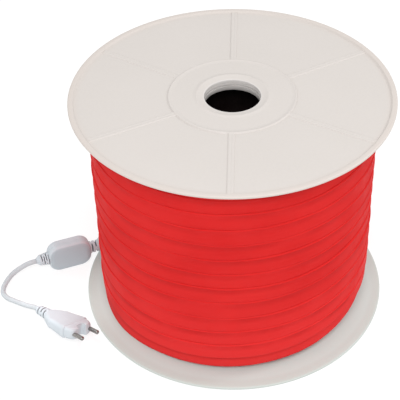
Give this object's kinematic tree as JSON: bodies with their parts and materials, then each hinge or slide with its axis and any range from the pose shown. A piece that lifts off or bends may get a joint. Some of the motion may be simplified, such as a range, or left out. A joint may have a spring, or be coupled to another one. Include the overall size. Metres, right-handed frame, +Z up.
{
  "type": "led neon flex reel",
  "caption": "Flat LED neon flex wound on a flanged plastic reel, with a white mains lead: in-line adaptor box, cord and two-pin plug.",
  "frame": {"origin": "on the reel's axis, at the floor that the lower flange stands on", "axes": "+Z up along the reel's axis; -Y towards the picture's viewpoint; the mains lead lies on the -X side"},
  "size_m": [0.3633, 0.28, 0.219],
  "materials": {
    "reel_plastic": "satin moulded",
    "barrel_plastic": "matte",
    "red_flex": "satin extruded",
    "lead_plastic": "satin moulded",
    "cord_jacket": "satin",
    "pin_metal": "nickel plated"
  },
  "bodies": {
    "root": {"lower_flange": "reel_plastic", "upper_flange": "reel_plastic", "barrel": "barrel_plastic", "neon_flex": "red_flex", "adaptor_case": "lead_plastic", "adaptor_inlet_relief": "lead_plastic", "adaptor_outlet_relief": "lead_plastic", "mains_cord": "cord_jacket", "plug_body": "lead_plastic", "plug_pin_left": "pin_metal", "plug_pin_right": "pin_metal"}
  },
  "joints": []
}
